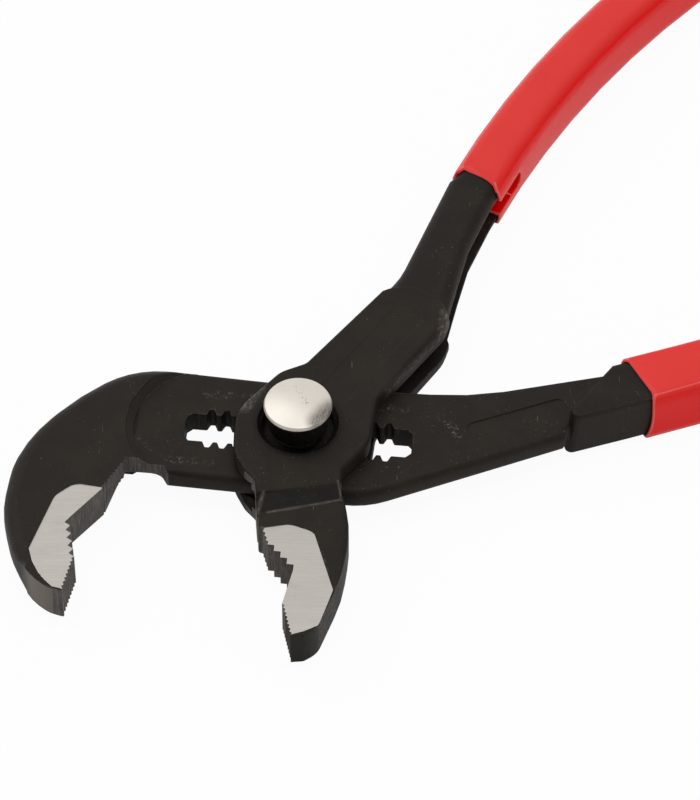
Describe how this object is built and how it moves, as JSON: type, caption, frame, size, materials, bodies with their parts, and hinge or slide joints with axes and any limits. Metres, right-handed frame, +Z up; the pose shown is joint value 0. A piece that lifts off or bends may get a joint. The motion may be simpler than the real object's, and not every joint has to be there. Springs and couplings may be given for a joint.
{
  "type": "water pump pliers",
  "caption": "Box-joint water pump pliers: a hooked jaw arm slides along a toothed slot on a sprung push-button bolt, with dipped plastic grips.",
  "frame": {"origin": "under the middle of the bounding box, on the surface that the tool lies on", "axes": "+Z up through the joint, from the back face to the button; +X along the longer side, from the jaws to the handle of the slotted arm; +Y towards the handle of the fork arm"},
  "size_m": [0.2368, 0.2108, 0.0208],
  "materials": {
    "black_steel": "black oxide on forged steel, ground bright on the jaw sides",
    "spring_steel": "plain hardened steel",
    "nickel": "nickel plate, polished",
    "red_coat": "glossy dipped plastic"
  },
  "bodies": {
    "fork": {"fork_arm": "black_steel", "fork_grip": "red_coat"},
    "spring_seat": {"return_spring": "spring_steel", "spring_washer": "spring_steel"},
    "bolt": {"joint_bolt": "spring_steel", "push_button": "nickel"},
    "slotted": {"slotted_arm": "black_steel", "slotted_grip": "red_coat"}
  },
  "joints": [
    {"name": "jaw_hinge", "type": "hinge", "parent": "fork", "child": "spring_seat", "pos_m": [-0.05885, -0.0527, 0.0069], "axis": [0, 0, 1], "range_deg": [-15, 16]},
    {"name": "button_press", "type": "slide", "parent": "spring_seat", "child": "bolt", "axis": [0, 0, -1], "range_m": [0, 0.0026], "stiffness_N_per_m": 1500, "springref_m": -0.002, "deforming": ["return_spring"]},
    {"name": "slot_adjust", "type": "slide", "parent": "spring_seat", "child": "slotted", "axis": [0.9949, -0.1011, 0], "range_m": [-0.0183, 0.0183]}
  ]
}
